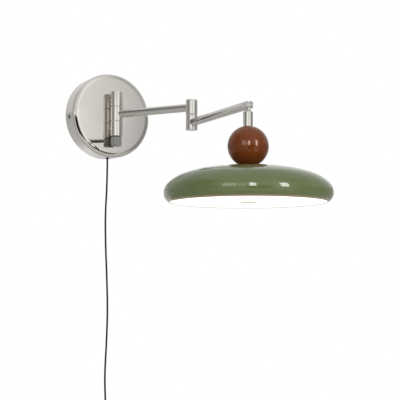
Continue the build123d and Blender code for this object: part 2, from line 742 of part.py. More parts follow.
diffuser_top = diffuser_low + diffuser_t
with BuildPart() as diffuser_spacer:
    with BuildSketch(head_plane(diffuser_top)):
        Circle(spacer_d / 2)
        Circle(stem_bore / 2 + pipe_gap, mode=Mode.SUBTRACT)
    extrude(amount=tray_low - tray_nut_t - diffuser_top)
diffuser_spacer.part.label = "diffuser_spacer"
export_step(diffuser_spacer.part, "parts/diffuser_spacer.step")

with BuildPart() as diffuser:
    with BuildSketch(head_plane(diffuser_low)):
        Circle(diffuser_r)
        Circle(stem_bore / 2 + pipe_gap, mode=Mode.SUBTRACT)
    extrude(amount=diffuser_t)
diffuser.part.label = "diffuser"
export_step(diffuser.part, "parts/diffuser.step")

with BuildPart() as diffuser_cap:
    with BuildSketch(head_plane(diffuser_low)):
        Circle(cap_d / 2)
    extrude(amount=-cap_t)
    chamfer(diffuser_cap.faces().sort_by(Axis.Z)[0].edges(), 0.6)
    with BuildSketch(head_plane(diffuser_low)):
        Circle(stem_bore / 2)
    extrude(amount=pipe_low - diffuser_low, mode=Mode.SUBTRACT)
diffuser_cap.part.label = "diffuser_cap"
export_step(diffuser_cap.part, "parts/diffuser_cap.step")

# Cord bush in the lower rim of the canopy, and the lead inside
grommet_low = -canopy_d / 2 - grommet_stand
with BuildPart() as cord_grommet:
    with BuildSketch(Plane(origin=(0, cord_y, grommet_low))):
        Circle(grommet_neck / 2)
    extrude(amount=grommet_stand + canopy_wall + 0.3)
    fillet(cord_grommet.faces().sort_by(Axis.Z)[0].edges(), 0.8 * grommet_stand)
    with BuildSketch(Plane(origin=(0, cord_y, -canopy_d / 2 + canopy_wall + 0.3))):
        Circle(grommet_flange / 2)
    extrude(amount=1.5)
    with BuildSketch(Plane(origin=(0, cord_y, grommet_low))):
        Circle(cord_d / 2 + running_fit)
    extrude(amount=8, mode=Mode.SUBTRACT)
cord_grommet.part.label = "cord_grommet"
export_step(cord_grommet.part, "parts/cord_grommet.step")

with BuildPart() as supply_lead:
    with BuildSketch(Plane(origin=(0, cord_y, grommet_low))):
        Circle(cord_d / 2)
    extrude(amount=-block_h / 2 - grommet_low)
supply_lead.part.label = "supply_lead"
export_step(supply_lead.part, "parts/supply_lead.step")

# Free cord: hangs from the bush in slow uneven waves
coil_z = -432.0
cord_route = [
    (0, cord_y, grommet_low),
    (0, cord_y, -96),
    (-2.3, cord_y + 0.9, -141),
    (-0.9, cord_y + 1.7, -187),
    (1.8, cord_y + 2.3, -233),
    (3.2, cord_y + 2.0, -280),
    (1.2, cord_y + 1.4, -327),
    (-1.7, cord_y + 0.2, -370),
    (0, cord_y, -408),
    (0, cord_y, coil_z),
]
cord_radii = []
for before, here, after in zip(cord_route, cord_route[1:], cord_route[2:]):
    run_in = Vector(*here) - Vector(*before)
    run_out = Vector(*after) - Vector(*here)
    turn = radians(run_in.get_angle(run_out))
    cord_radii.append(0.45 * min(run_in.length, run_out.length) / tan(turn / 2))
with BuildPart() as power_cord:
    with BuildLine() as cord_line:
        FilletPolyline(*cord_route, radius=cord_radii)
    with BuildSketch(Plane(origin=cord_route[0], z_dir=(0, 0, -1))):
        Circle(cord_d / 2)
    sweep()
power_cord.part.label = "power_cord"
export_step(power_cord.part, "parts/power_cord.step")
cord_free = cord_line.wires()[0].length
print("cord radii", [round(r) for r in cord_radii], "least", round(min(cord_radii)))
cord_section = pi * cord_d**2 / 4
print("cord volume over section x length", round(power_cord.part.volume / (cord_section * cord_free), 4))

# Coil: four layers of loops that spiral in and out, climbing where the spiral reverses
half_step = coil_pitch / 2
half_turns = []
radius = coil_r
for layer in range(4):
    steps = 2 * coil_turns - (1 if layer == 3 else 0)
    for step in range(steps):
        half_turns.append((radius, 0.0))
        radius += -half_step if layer % 2 == 0 else half_step
    if layer < 3:
        half_turns.append((radius, coil_pitch))
        radius += half_step if layer % 2 == 0 else -half_step


def biarc(start, start_dir, end, end_dir):
    chord = end - start
    both = chord.dot(start_dir + end_dir)
    spread = 2 * (1 - start_dir.dot(end_dir))
    reach = (-both + (both**2 + spread * chord.dot(chord)) ** 0.5) / spread
    near = start + start_dir * reach
    far = end - end_dir * reach
    middle = (near + far) * 0.5
    first = TangentArc(start, middle, tangent=start_dir)
    return [first, TangentArc(middle, end, tangent=(far - near).normalized())]


down = Vector(0, 0, -1)
coil_start = Vector(*cord_route[-1])
at = coil_start
heading = down
coil_edges = [Line(at, at + down * cord_d)]
at = at + down * cord_d
for radius, climb in half_turns:
    side = -1 if heading.Z < 0 else 1
    end = at + Vector(side * 2 * radius, -climb, 0)
    if climb == 0:
        coil_edges.append(TangentArc(at, end, tangent=heading))
    else:
        top = at + Vector(side * radius, -climb / 2, heading.Z * radius)
        across = Vector(side, -climb / radius, 0).normalized()
        coil_edges += biarc(at, heading, top, across)
        coil_edges += biarc(top, across, end, -heading)
    at = end
    heading = -heading
tail_low = at.Z - coil_r - half_step - cord_d / 2 - 6.0
coil_edges.append(Line(at, Vector(at.X, at.Y, tail_low)))
with BuildPart() as cord_coil:
    with BuildLine() as coil_line:
        add(coil_edges)
    with BuildSketch(Plane(origin=coil_start, z_dir=down)):
        Circle(cord_d / 2)
    sweep()
cord_coil.part.label = "cord_coil"
export_step(cord_coil.part, "parts/cord_coil.step")

# Least gap between the coil's own loops, measured on points along the line
coil_wire = coil_line.wires()[0]
coil_len = coil_wire.length
spots = [coil_wire.position_at(k / 3000) for k in range(3001)]
spacing = coil_len / 3000
skip = int(4 * cord_d / spacing)
least_gap = 1e9
for k, spot in enumerate(spots):
    for other in spots[k + skip:]:
        if abs(spot.X - other.X) < 5 and abs(spot.Z - other.Z) < 5:
            least_gap = min(least_gap, (spot - other).length - cord_d)
print("coil length", round(coil_len), "free cord", round(cord_free), "least gap in coil", round(least_gap, 3))
print("coil volume over section x length", round(cord_coil.part.volume / (cord_section * coil_len), 4))

# Tie round the loops at the top of the coil
coil_mid_x = coil_start.X - coil_r + half_step
coil_mid_z = coil_start.Z - cord_d
bundle_in = 6.7
bundle_out = coil_r + half_step + cord_d / 2 + 0.4
bundle_depth = 3 * coil_pitch + cord_d + 0.6
bundle_y = cord_y - 1.5 * coil_pitch
tie_z = coil_mid_z + (bundle_in + bundle_out) / 2
with BuildPart() as cord_tie:
    with BuildSketch(Plane(origin=(coil_mid_x, bundle_y, tie_z), x_dir=(0, 1, 0), z_dir=(1, 0, 0))):
        RectangleRounded(bundle_depth + 2 * tie_t, bundle_out - bundle_in + 2 * tie_t, 2.0)
        RectangleRounded(bundle_depth, bundle_out - bundle_in, 1.0, mode=Mode.SUBTRACT)
    extrude(amount=tie_w / 2, both=True)
cord_tie.part.label = "cord_tie"
export_step(cord_tie.part, "parts/cord_tie.step")

# Plug-in power supply: strain relief, body and two round pins
plug_x = at.X
plug_y = at.Y
relief_h = 9.0
plug_top = tail_low - relief_h
plug_mid = plug_top - plug_h / 2
with BuildPart() as plug_strain_relief:
    with BuildSketch(Plane(origin=(plug_x, plug_y, plug_top))):
        Circle(4.2)
    extrude(amount=relief_h, taper=9)
plug_strain_relief.part.label = "plug_strain_relief"
export_step(plug_strain_relief.part, "parts/plug_strain_relief.step")

with BuildPart() as plug_body:
    with BuildSketch(Plane(origin=(plug_x, plug_y, plug_top))):
        RectangleRounded(plug_w, plug_t, 5.0)
    extrude(amount=-plug_h)
    fillet(plug_body.faces().filter_by(Axis.Z).edges(), 2.5)
    with BuildSketch(Plane(origin=(plug_x, plug_y - plug_t / 2, plug_mid), x_dir=(1, 0, 0), z_dir=(0, 1, 0))):
        with Locations((-plug_pin_span / 2, 0), (plug_pin_span / 2, 0)):
            Circle(plug_root_d / 2)
    extrude(amount=plug_pin_seat, mode=Mode.SUBTRACT)
plug_body.part.label = "plug_body"
export_step(plug_body.part, "parts/plug_body.step")

plug_face = plug_y - plug_t / 2
with BuildPart() as plug_pin_left:
    with BuildSketch(Plane(origin=(plug_x - plug_pin_span / 2, plug_face, plug_mid), **face_out)):
        Circle(plug_pin_d / 2)
    extrude(amount=plug_pin_len)
    fillet(plug_pin_left.faces().sort_by(Axis.Y)[0].edges(), plug_pin_tip)
    with BuildSketch(Plane(origin=(plug_x - plug_pin_span / 2, plug_face, plug_mid), **face_out)):
        Circle(plug_root_d / 2)
    extrude(amount=-plug_pin_seat)
plug_pin_left.part.label = "plug_pin_left"
export_step(plug_pin_left.part, "parts/plug_pin_left.step")

with BuildPart() as plug_pin_right:
    with BuildSketch(Plane(origin=(plug_x + plug_pin_span / 2, plug_face, plug_mid), **face_out)):
        Circle(plug_pin_d / 2)
    extrude(amount=plug_pin_len)
    fillet(plug_pin_right.faces().sort_by(Axis.Y)[0].edges(), plug_pin_tip)
    with BuildSketch(Plane(origin=(plug_x + plug_pin_span / 2, plug_face, plug_mid), **face_out)):
        Circle(plug_root_d / 2)
    extrude(amount=-plug_pin_seat)
plug_pin_right.part.label = "plug_pin_right"
export_step(plug_pin_right.part, "parts/plug_pin_right.step")

print("barrel", barrel_y, "elbow", round(elbow_x, 3), round(elbow_y, 3))
print("head", round(head_x, 3), round(head_y, 3))
print("arm2_z", arm2_z, "knob", knob_top, knob_low, "shade", shade_top, shade_low, "ball_z", ball_z)
print("plug", round(plug_x, 3), round(plug_y, 3), "pins at z", round(plug_mid, 3))
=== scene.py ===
"""Looks of a plug-in wall lamp with a two-part swing arm, a lacquered ball and a flat dome shade.

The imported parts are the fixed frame, in metres: the wall is the plane y = 0, the lamp stands out
along -Y and +Z is up.  Turned pieces are surfaces of revolution with exact normals, so that polished
metal and gloss paint reflect cleanly.
"""

import json

import bpy
import numpy as np
from mathutils import Matrix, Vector
from bpy.props import FloatProperty, FloatVectorProperty, IntProperty, PointerProperty

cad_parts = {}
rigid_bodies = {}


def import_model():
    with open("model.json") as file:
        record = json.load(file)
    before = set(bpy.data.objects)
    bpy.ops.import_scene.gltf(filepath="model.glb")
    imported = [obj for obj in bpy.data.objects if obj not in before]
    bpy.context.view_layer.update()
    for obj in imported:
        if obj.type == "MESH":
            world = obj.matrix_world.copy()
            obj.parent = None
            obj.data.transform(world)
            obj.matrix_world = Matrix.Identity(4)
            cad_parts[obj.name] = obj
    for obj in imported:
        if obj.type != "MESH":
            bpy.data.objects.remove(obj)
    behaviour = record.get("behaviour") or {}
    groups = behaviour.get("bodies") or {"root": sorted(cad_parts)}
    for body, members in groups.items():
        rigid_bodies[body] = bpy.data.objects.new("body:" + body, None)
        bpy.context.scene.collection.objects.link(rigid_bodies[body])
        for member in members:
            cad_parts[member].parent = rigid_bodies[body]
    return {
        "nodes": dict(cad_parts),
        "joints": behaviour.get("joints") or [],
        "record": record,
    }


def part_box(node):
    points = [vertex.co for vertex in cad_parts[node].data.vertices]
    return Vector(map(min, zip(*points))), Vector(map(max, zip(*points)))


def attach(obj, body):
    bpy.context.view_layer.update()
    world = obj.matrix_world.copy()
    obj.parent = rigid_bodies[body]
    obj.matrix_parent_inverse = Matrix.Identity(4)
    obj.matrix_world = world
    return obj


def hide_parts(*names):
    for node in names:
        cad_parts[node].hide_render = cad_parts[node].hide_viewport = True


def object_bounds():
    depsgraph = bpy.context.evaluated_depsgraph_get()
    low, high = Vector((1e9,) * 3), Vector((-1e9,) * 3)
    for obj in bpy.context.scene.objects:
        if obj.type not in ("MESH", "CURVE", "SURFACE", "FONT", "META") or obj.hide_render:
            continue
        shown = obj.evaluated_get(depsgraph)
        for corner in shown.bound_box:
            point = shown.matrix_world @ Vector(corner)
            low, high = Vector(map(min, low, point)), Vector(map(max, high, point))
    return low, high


bl_info = {
    "name": "Swing-arm wall lamp",
    "version": (1, 0, 0),
    "blender": (4, 5, 0),
    "location": "3D View > Sidebar > Wall lamp",
    "description": "Dresses the packed solids of a swing-arm wall lamp and sets its studio",
    "category": "Object",
}

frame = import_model()
CAD_LOW, CAD_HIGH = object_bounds()
SLOT_OF = {row["node"]: row["material_slot"] for row in frame["record"]["subparts"]}
JOINT_AT = {joint["name"]: np.array(joint["pos_m"]) for joint in frame["joints"]}


def node_box(node):
    """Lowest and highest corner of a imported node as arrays."""
    low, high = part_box(node)
    return np.array(low), np.array(high)


def half_width(node):
    """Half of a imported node's width along X."""
    low, high = node_box(node)
    return (high[0] - low[0]) / 2


class LampSizes(bpy.types.PropertyGroup):
    """Sizes that finish the turned pieces."""

    turns: IntProperty(name="Steps round", description="Steps round each turned piece", default=192, min=48)
    canopy_edge: FloatProperty(
        name="Canopy edge",
        description="Reach of the front edge's round over the face",
        default=0.008,
        unit="LENGTH",
    )
    canopy_round: FloatProperty(
        name="Canopy round",
        description="Reach of the front edge's round down the side",
        default=0.004,
        unit="LENGTH",
    )
    small_edge: FloatProperty(
        name="Small edge", description="Radius of the barrels' edges", default=0.0004, unit="LENGTH"
    )
    canopy_dome: FloatProperty(
        name="Canopy dome",
        description="Fall of the front face towards its edge",
        default=0.0012,
        unit="LENGTH",
    )
    canopy_flat: FloatProperty(
        name="Canopy flat",
        description="Radius of the flat middle of the front",
        default=0.020,
        unit="LENGTH",
    )
    canopy_wall: FloatProperty(
        name="Canopy wall", description="Thickness of the canopy", default=0.0015, unit="LENGTH"
    )
    sheet: FloatProperty(
        name="Sheet", description="Thickness of the spun shade", default=0.0012, unit="LENGTH"
    )
    lip: FloatProperty(
        name="Lip", description="How far the shade turns in at its mouth", default=0.007, unit="LENGTH"
    )
    # Width of the tan band at the mouth: partly unpainted rim, partly painted glow of the diffuser's light.
    bare_and_glow_width: FloatProperty(
        name="Bare edge",
        description="Width over which the paint thins at the mouth",
        default=0.0045,
        unit="LENGTH",
    )
    fork: FloatProperty(
        name="Fork",
        description="From the tilt pin back to the end of the tube",
        default=0.0075,
        unit="LENGTH",
    )
    tube_start: FloatProperty(
        name="Tube start",
        description="From a hinge's axis to the start of an arm tube",
        default=0.004,
        unit="LENGTH",
    )
    elbow_top_edge: FloatProperty(
        name="Elbow top edge",
        description="Radius of the upper elbow barrel's edges",
        default=0.0008,
        unit="LENGTH",
    )
    elbow_foot_edge: FloatProperty(
        name="Elbow foot edge",
        description="Radius of the lower elbow barrel's edges",
        default=0.0006,
        unit="LENGTH",
    )
    stem_edge: FloatProperty(
        name="Stem edge",
        description="Radius of the stem's edges",
        default=0.0002,
        unit="LENGTH",
    )
    disc_edge: FloatProperty(
        name="Disc edge",
        description="Radius of the edges of the diffuser and its cap",
        default=0.0008,
        unit="LENGTH",
    )
    pipe_gap: FloatProperty(
        name="Pipe gap",
        description="Room between the lamp pipe and the ball's bore",
        default=0.0002,
        unit="LENGTH",
    )
    cord: FloatProperty(name="Cord", description="Diameter of the cord", default=0.0026, unit="LENGTH")


class LampColours(bpy.types.PropertyGroup):
    """Colours of the finishes, as linear values."""

    nickel: FloatVectorProperty(
        name="Nickel", description="Polished plating", subtype="COLOR", default=(0.68, 0.655, 0.615)
    )
    sage: FloatVectorProperty(
        name="Sage", description="Gloss paint of the shade", subtype="COLOR", default=(0.115, 0.150, 0.055)
    )
    # Tan of the lip's edge: partly its unpainted rim, partly painted glow of the diffuser's light.
    edge: FloatVectorProperty(
        name="Edge", description="Bare edge of the shade's lip", subtype="COLOR", default=(0.48, 0.34, 0.22)
    )
    ball: FloatVectorProperty(
        name="Ball", description="Lacquered wood", subtype="COLOR", default=(0.150, 0.034, 0.0065)
    )
    cord: FloatVectorProperty(
        name="Cord", description="Sheath of the cord", subtype="COLOR", default=(0.012, 0.012, 0.013)
    )
    brass: FloatVectorProperty(
        name="Cap", description="Satin brass of the cap", subtype="COLOR", default=(0.80, 0.71, 0.57)
    )
    light: FloatVectorProperty(
        name="Light", description="Light of the diffuser", subtype="COLOR", default=(1.0, 0.93, 0.82)
    )


class LampStage(bpy.types.PropertyGroup):
    """Camera, floor and light levels."""

    lens: FloatProperty(
        name="Lens",
        description="Focal length on a 36 mm sensor",
        default=88.894,
        unit="CAMERA",
    )
    eye: FloatVectorProperty(
        name="Eye",
        description="Place of the camera",
        subtype="TRANSLATION",
        default=(-0.6150, -1.2870, -0.2330),
    )
    turn: FloatVectorProperty(
        name="Turn",
        description="Turn of the camera",
        subtype="EULER",
        default=(np.radians(94.592), 0.0, np.radians(-31.156)),
    )
    floor_drop: FloatProperty(
        name="Floor drop",
        description="From the lowest point of the lamp down to the floor",
        default=0.03,
        unit="LENGTH",
    )
    floor_radius: FloatProperty(
        name="Floor radius",
        description="Radius of the floor",
        default=1.2,
        unit="LENGTH",
    )
    fill: FloatProperty(name="Fill", description="Level of the light from all sides", default=0.42)
    window: FloatProperty(name="Window", description="Brightness of the window panels", default=12.0)


# Profiles and turned pieces


def rounded_profile(corners, radii, steps=10):
    """Points and normals of a line with rounded corners, in (radius, height).

    At a corner of radius r the line leaves r tan(turn / 2) before the corner and follows the circle
    that touches both runs.  A normal is the direction of travel turned a quarter to the right.
    """
    corners = np.asarray(corners, float)
    runs = np.diff(corners, axis=0)
    ways = runs / np.linalg.norm(runs, axis=1)[:, None]
    right = np.stack([ways[:, 1], -ways[:, 0]], axis=1)
    points, normals = [corners[:1]], [right[:1]]
    for k, radius in enumerate(radii):
        before, after = ways[k], ways[k + 1]
        turn = np.arctan2(before[0] * after[1] - before[1] * after[0], before @ after)
        start = corners[k + 1] - before * radius * np.tan(abs(turn) / 2)
        side = np.sign(turn)
        centre = start - right[k] * radius * side
        angles = np.linspace(0.0, turn, steps)
        cosine, sine = np.cos(angles), np.sin(angles)
        facing = np.stack(
            [right[k, 0] * cosine - right[k, 1] * sine, right[k, 0] * sine + right[k, 1] * cosine], axis=1
        )
        points.append(centre + facing * radius * side)
        normals.append(facing)
    points.append(corners[-1:])
    normals.append(right[-1:])
    return np.concatenate(points), np.concatenate(normals)


def tangent_arcs(points, heading, steps=18):
    """Points and normals of circle arcs through the given points, each starting where the last one points.

    An arc from a with heading t to b has its centre on the line through a square to t, at the
    distance |b - a|^2 / (2 (b - a) . n).  A normal is the heading turned a quarter to the left.
    """
    heading = np.asarray(heading, float)
    spots, facings = [], []
    for start, end in zip(np.asarray(points, float)[:-1], np.asarray(points, float)[1:]):
        left = np.array([-heading[1], heading[0]])
        chord = end - start
        radius = chord @ chord / (2 * chord @ left)
        sweep = 2 * np.arctan2(chord @ left, chord @ heading)
        angles = np.linspace(0.0, sweep, steps)
        cosine, sine = np.cos(angles), np.sin(angles)
        facing = np.stack([left[0] * cosine - left[1] * sine, left[0] * sine + left[1] * cosine], axis=1)
        spots.append(start + left * radius - facing * radius)
        facings.append(facing)
        heading = np.array([facing[-1, 1], -facing[-1, 0]])
    return np.concatenate(spots), np.concatenate(facings)


def squeezed(profile, share):
    """Profile whose heights are multiplied by a share: rounds become ellipses, and normals turn to match."""
    points, normals = profile
    leaned = normals / (1.0, share)
    return points * (1.0, share), leaned / np.linalg.norm(leaned, axis=1)[:, None]


def domed(profile, flat, radius, drop, steps=24):
    """Profile whose last run, the front face, is flat to a radius and then falls in an even curve.

    Beyond the flat middle a point drops by drop ((r - flat) / (radius - flat))^2 times its share of
    the depth, so that the back stays where it is, and normals turn with the slope.
    """
    points, normals = profile
    depth = points[-1, 1]
    face = np.linspace(points[-2, 0], 0.0, steps)[1:]
    points = np.concatenate([points[:-1], np.column_stack([face, np.full(len(face), depth)])])
    normals = np.concatenate([normals[:-1], np.repeat(normals[-1:], len(face), axis=0)])
    out = np.maximum(points[:, 0] - flat, 0.0) / (radius - flat)
    share = points[:, 1] / depth
    slope = -2 * drop * out / (radius - flat) * share
    lower = points - np.column_stack([np.zeros(len(points)), drop * out**2 * share])
    leaned = np.column_stack([normals[:, 0] - slope * normals[:, 1], normals[:, 1]])
    return lower, leaned / np.linalg.norm(leaned, axis=1)[:, None]


def turned(name, profile, origin, axis, turns, closed=False, inside=None):
    """Surface of revolution of a profile round an axis.

    The point (r, h) goes to origin + h axis + r (cos t u + sin t v), with u and v square to the axis.
    Points on the axis become one pole each.  A closed profile joins its end to its start.  Values of
    the profile's points that are given as inside become the point attribute of that name.
    """
    points, normals = profile
    keep = np.ones(len(points), bool)
    keep[1:] = np.linalg.norm(np.diff(points, axis=0), axis=1) > 1e-7
    if closed:
        keep[-1] = False
    points, normals = points[keep], normals[keep]
    marks = None if inside is None else np.repeat(np.asarray(inside, np.float32)[keep], turns)
    axis = np.asarray(axis, float) / np.linalg.norm(axis)
    helper = np.array([1.0, 0.0, 0.0]) if abs(axis[0]) < 0.9 else np.array([0.0, 1.0, 0.0])
    across = np.cross(axis, helper)
    across /= np.linalg.norm(across)
    other = np.cross(axis, across)
    angle = np.linspace(0.0, 2 * np.pi, turns, endpoint=False)
    spoke = np.cos(angle)[:, None] * across + np.sin(angle)[:, None] * other
    places = np.asarray(origin) + points[:, None, 1:] * axis + points[:, None, :1] * spoke
    facings = normals[:, None, 1:] * axis + normals[:, None, :1] * spoke
    rings = len(points)
    index = np.arange(rings * turns).reshape(rings, turns)
    poles = np.flatnonzero(points[:, 0] < 1e-9)
    index[poles] = index[poles, :1]
    lower = index if closed else index[:-1]
    upper = np.roll(index, -1, axis=0) if closed else index[1:]
    quads = np.stack([lower, np.roll(lower, -1, 1), np.roll(upper, -1, 1), upper], axis=-1).reshape(-1, 4)
    return mesh_piece(name, places.reshape(-1, 3), quads, facings.reshape(-1, 3), marks)


def mesh_piece(name, places, quads, facings, inside=None):
    """Mesh object at the origin from points, four-cornered faces and a normal for each point.

    A face with a repeated corner becomes a triangle, faces are turned to agree with the normals,
    and points that no face uses are dropped.
    """
    first, second, third, fourth = (places[quads[:, k]] for k in range(4))
    face_way = np.cross(third - first, fourth - second)
    flip = np.einsum("ij,ij->i", face_way, facings[quads].sum(axis=1)) < 0
    quads = np.where(flip[:, None], quads[:, ::-1], quads)
    doubled = quads == np.roll(quads, -1, axis=1)
    flat = quads[doubled.sum(axis=1) == 0]
    pinched = quads[doubled.sum(axis=1) == 1]
    single = ~(pinched == np.roll(pinched, -1, axis=1))
    triangles = pinched[single].reshape(-1, 3)
    used, again = np.unique(np.concatenate([flat.ravel(), triangles.ravel()]), return_inverse=True)
    corners = np.concatenate([np.full(len(flat), 4), np.full(len(triangles), 3)])
    mesh = bpy.data.meshes.new(name)
    mesh.vertices.add(len(used))
    mesh.vertices.foreach_set("co", places[used].astype(np.float32).ravel())
    mesh.loops.add(len(again))
    mesh.loops.foreach_set("vertex_index", again.astype(np.int32).ravel())
    mesh.polygons.add(len(corners))
    starts = np.concatenate([[0], np.cumsum(corners)[:-1]])
    mesh.polygons.foreach_set("loop_start", starts.astype(np.int32))
    mesh.polygons.foreach_set("use_smooth", np.ones(len(corners), bool))
    mesh.update(calc_edges=True)
    mesh.validate()
    mesh.normals_split_custom_set_from_vertices(facings[used].tolist())
    if inside is not None:
        layer = mesh.attributes.new("inside", "FLOAT", "POINT")
        layer.data.foreach_set("value", inside[used])
    piece = bpy.data.objects.new(name, mesh)
    bpy.context.scene.collection.objects.link(piece)
    return piece


def solid_of_turning(name, radius, low, high, edge, origin, axis, turns, bore=None):
    """Turned cylinder from height low to high with rounded edges, solid or with a plain bore."""
    inner = 0.0 if bore is None else bore
    corners = [(inner, low), (radius, low), (radius, high), (inner, high)]
    if bore is None:
        return turned(name, rounded_profile(corners, [edge, edge]), origin, axis, turns)
    corners = [((inner + radius) / 2, low)] + corners[1:] + corners[:1] + [((inner + radius) / 2, low)]
    return turned(name, rounded_profile(corners, [edge] * 4), origin, axis, turns, closed=True)


def upright(name, node, edge, centre, turns, bore=None):
    """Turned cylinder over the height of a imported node, round the vertical line through a centre."""
    low, high = node_box(node)
    foot = (centre[0], centre[1], 0)
    return solid_of_turning(name, half_width(node), low[2], high[2], edge, foot, (0, 0, 1), turns, bore)


def place(piece, body, slot, *nodes):
    """Gives a piece its body and a slot with that finish, and hides the imported nodes that it stands for.
    """
    piece.data.materials.append(FINISHES[slot])
    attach(piece, body)
    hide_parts(*nodes)


# Finishes


def new_finish(name, colour, metallic=0.0, roughness=0.4, **sockets):
    """Material with one principled shader whose constant values sit on its own sockets."""
    material = bpy.data.materials.new(name)
    material.use_nodes = True
    shader = material.node_tree.nodes["Principled BSDF"]
    shader.inputs["Base Color"].default_value = (*colour, 1.0)
    shader.inputs["Metallic"].default_value = metallic
    shader.inputs["Roughness"].default_value = roughness
    for socket, value in sockets.items():
        shader.inputs[socket.replace("_", " ")].default_value = value
    return material, shader


def add_noise(material, scale, detail, stretch=(1.0, 1.0, 1.0)):
    """Noise on stretched Object coordinates."""
    nodes, links = material.node_tree.nodes, material.node_tree.links
    place_node = nodes.new("ShaderNodeTexCoord")
    mapping = nodes.new("ShaderNodeMapping")
    mapping.inputs["Scale"].default_value = stretch
    noise = nodes.new("ShaderNodeTexNoise")
    noise.inputs["Scale"].default_value = scale
    noise.inputs["Detail"].default_value = detail
    links.new(place_node.outputs["Object"], mapping.inputs["Vector"])
    links.new(mapping.outputs["Vector"], noise.inputs["Vector"])
    return noise


def add_bump(material, shader, noise, distance):
    """Fine relief of the given height, in metres, from a noise."""
    bump = material.node_tree.nodes.new("ShaderNodeBump")
    bump.inputs["Strength"].default_value = 1.0
    bump.inputs["Distance"].default_value = distance
    material.node_tree.links.new(noise.outputs["Fac"], bump.inputs["Height"])
    material.node_tree.links.new(bump.outputs["Normal"], shader.inputs["Normal"])


def vary_roughness(material, shader, noise, low, high):
    """Roughness between two values, following a noise."""
    span = material.node_tree.nodes.new("ShaderNodeMapRange")
    span.inputs["From Min"].default_value = 0.3
    span.inputs["From Max"].default_value = 0.7
    span.inputs["To Min"].default_value = low
    span.inputs["To Max"].default_value = high
    material.node_tree.links.new(noise.outputs["Fac"], span.inputs["Value"])
    material.node_tree.links.new(span.outputs["Result"], shader.inputs["Roughness"])


def vary_colour(material, shader, noise, dark, light, low=0.35, high=0.65):
    """Base colour between two values, following a noise."""
    ramp = material.node_tree.nodes.new("ShaderNodeValToRGB")
    ramp.color_ramp.elements[0].position = low
    ramp.color_ramp.elements[1].position = high
    ramp.color_ramp.elements[0].color = (*dark, 1.0)
    ramp.color_ramp.elements[1].color = (*light, 1.0)
    material.node_tree.links.new(noise.outputs["Fac"], ramp.inputs["Fac"])
    material.node_tree.links.new(ramp.outputs["Color"], shader.inputs["Base Color"])


def shaded(colour, factor):
    """A colour times a factor."""
    return tuple(c * factor for c in colour)


def finish_nickel(colours):
    """Mirror plating with faint polishing haze, dull where the point attribute "inside" is 1."""
    material, shader = new_finish("polished_nickel", colours.nickel, 1.0, 0.05)
    nodes, links = material.node_tree.nodes, material.node_tree.links
    vary_roughness(material, shader, add_noise(material, 45.0, 4.0), 0.02, 0.045)
    haze = shader.inputs["Roughness"].links[0].from_socket
    inside = nodes.new("ShaderNodeAttribute")
    inside.attribute_name = "inside"
    dull = nodes.new("ShaderNodeMath")
    dull.operation = "MULTIPLY_ADD"
    dull.inputs[1].default_value = 0.45
    links.new(inside.outputs["Fac"], dull.inputs[0])
    links.new(haze, dull.inputs[2])
    links.new(dull.outputs[0], shader.inputs["Roughness"])
    return material


def finish_metal(name, colour, roughness):
    """Turned or stamped metal with fine tool marks."""
    material, shader = new_finish(name, colour, 1.0, roughness)
    marks = add_noise(material, 900.0, 2.0, (1.0, 1.0, 0.15))
    vary_roughness(material, shader, marks, roughness * 0.75, roughness * 1.3)
    add_bump(material, shader, marks, 0.00002)
    return material


def finish_plastic(name, colour, roughness, grain=1800.0, height=0.00002, shine=0.5):
    """Moulded plastic or rubber with a fine grain; a smaller shine is more matt at any angle."""
    material, shader = new_finish(name, colour, 0.0, roughness, Specular_IOR_Level=shine)
    noise = add_noise(material, grain, 2.0)
    vary_colour(material, shader, noise, shaded(colour, 0.85), shaded(colour, 1.15))
    add_bump(material, shader, noise, height)
    return material


AT_MOUTH = 0.1


def finish_sage(colours):
    """Gloss paint with the slight cloudiness of a sprayed coat, a tan band at the lip's edge and white
    inside.

    The point attribute "inside" is 0 on the outer face, rises to AT_MOUTH at the mouth, where the tan band
    stands partly for the unpainted rim and partly for painted glow of the diffuser's light, and runs on to
    1 on the inner face.
    """
    material, shader = new_finish("sage_paint", colours.sage, 0.0, 0.08, IOR=1.52)
    nodes, links = material.node_tree.nodes, material.node_tree.links
    cloud = add_noise(material, 30.0, 4.0)
    vary_colour(material, shader, cloud, shaded(colours.sage, 0.96), shaded(colours.sage, 1.04))
    paint = shader.inputs["Base Color"].links[0].from_socket
    inside = nodes.new("ShaderNodeAttribute")
    inside.attribute_name = "inside"
    # Tan below the middle of the lip: partly the unpainted rim, partly painted glow of the diffuser's light;
    # white on the inner face.
    lining_and_edge_glow = nodes.new("ShaderNodeValToRGB")
    lining_and_edge_glow.color_ramp.interpolation = "CONSTANT"
    lining_and_edge_glow.color_ramp.elements[0].color = (*colours.edge, 1.0)
    lining_and_edge_glow.color_ramp.elements[1].position = 0.5
    lining_and_edge_glow.color_ramp.elements[1].color = (0.85, 0.84, 0.80, 1.0)
    over = nodes.new("ShaderNodeMapRange")
    over.inputs["From Max"].default_value = AT_MOUTH
    coat = nodes.new("ShaderNodeMix")
    coat.data_type = "RGBA"
    links.new(inside.outputs["Fac"], lining_and_edge_glow.inputs["Fac"])
    links.new(inside.outputs["Fac"], over.inputs["Value"])
    links.new(over.outputs["Result"], coat.inputs["Factor"])
    links.new(paint, coat.inputs["A"])
    links.new(lining_and_edge_glow.outputs["Color"], coat.inputs["B"])
    links.new(coat.outputs["Result"], shader.inputs["Base Color"])
    return material


def finish_ball(colours):
    """Turned wood with a close grain along Z, under clear brown gloss lacquer."""
    material, shader = new_finish("brown_lacquer", colours.ball, 0.0, 0.05, IOR=1.45)
    shader.inputs["Specular Tint"].default_value = (1.0, 0.80, 0.68, 1.0)
    grain = add_noise(material, 420.0, 5.0, (1.0, 1.0, 0.06))
    vary_colour(material, shader, grain, shaded(colours.ball, 0.90), shaded(colours.ball, 1.10))
    return material


